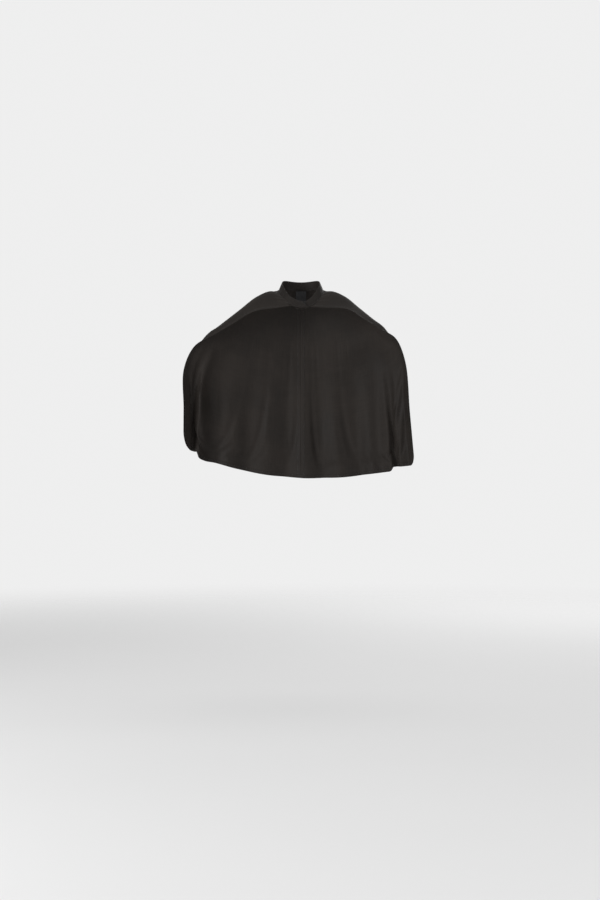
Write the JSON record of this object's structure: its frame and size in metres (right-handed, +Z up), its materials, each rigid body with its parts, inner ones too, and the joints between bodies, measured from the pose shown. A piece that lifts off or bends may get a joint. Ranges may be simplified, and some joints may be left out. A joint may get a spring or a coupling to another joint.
{
  "type": "costume cape",
  "caption": "Child's superhero cape in its worn shape: draped cloth panels with hems, a stand collar and a hook-and-loop tab closure at the front.",
  "frame": {"origin": "centre of the neck opening, level with the neck seam at the front of the shoulders", "axes": "+Z up along the wearer's neck, -Y the way the wearer faces, +X to the wearer's left"},
  "size_m": [0.6332, 0.197, 0.5384],
  "materials": {
    "cape_cloth": "light matt polyester, plain woven, slightly warm black",
    "hem_cloth": "the same cloth turned to its inner face",
    "collar_band": "the same cloth, smooth over its interfacing",
    "interfacing": "stiff felted grey lining",
    "hook_tape": "black nylon hook tape",
    "loop_tape": "black napped loop tape",
    "label_tape": "satin woven tape, dark grey, blank",
    "thread": "black polyester sewing thread"
  },
  "bodies": {
    "back": {"right_panel": "cape_cloth", "left_panel": "cape_cloth", "right_front_hem": "hem_cloth", "left_front_hem": "hem_cloth", "right_bottom_hem": "hem_cloth", "left_bottom_hem": "hem_cloth", "right_hem_thread": "thread", "left_hem_thread": "thread", "back_seam_thread": "thread", "right_collar": "collar_band", "left_collar": "collar_band", "right_collar_interfacing": "interfacing", "left_collar_interfacing": "interfacing", "right_neck_thread": "thread", "left_neck_thread": "thread", "label_thread": "thread"},
    "right_front": {"right_front_corner": "cape_cloth", "right_corner_hem": "hem_cloth", "right_collar_front": "collar_band", "right_front_interfacing": "interfacing", "right_front_thread": "thread"},
    "left_front": {"left_front_corner": "cape_cloth", "left_corner_hem": "hem_cloth", "left_collar_front": "collar_band", "left_front_interfacing": "interfacing", "left_front_thread": "thread", "loop_patch": "loop_tape", "loop_patch_thread": "thread"},
    "tab": {"closure_tab": "collar_band", "tab_interfacing": "interfacing", "hook_patch": "hook_tape", "hook_patch_thread": "thread"},
    "label": {"care_label": "label_tape"}
  },
  "joints": [
    {"name": "right_front_open", "type": "hinge", "parent": "back", "child": "right_front", "pos_m": [-0.062, -0.02, 0.005], "axis": [-0.3015, -0.3015, -0.9045], "range_deg": [0, 42]},
    {"name": "left_front_open", "type": "hinge", "parent": "back", "child": "left_front", "pos_m": [0.062, -0.02, 0.005], "axis": [-0.3015, 0.3015, 0.9045], "range_deg": [0, 21]},
    {"name": "closure_tab_peel", "type": "hinge", "parent": "right_front", "child": "tab", "pos_m": [-0.0229, -0.0649, -0.0234], "axis": [-0.2129, -0.5657, -0.7966], "range_deg": [0, 80]},
    {"name": "label_flip", "type": "hinge", "parent": "back", "child": "label", "pos_m": [0, 0.0535, 0.025], "axis": [-1, 0, 0], "range_deg": [0, 110]}
  ],
  "couplings": [
    {"joint": "left_front_open", "follows": "right_front_open", "ratio": 0.5}
  ]
}
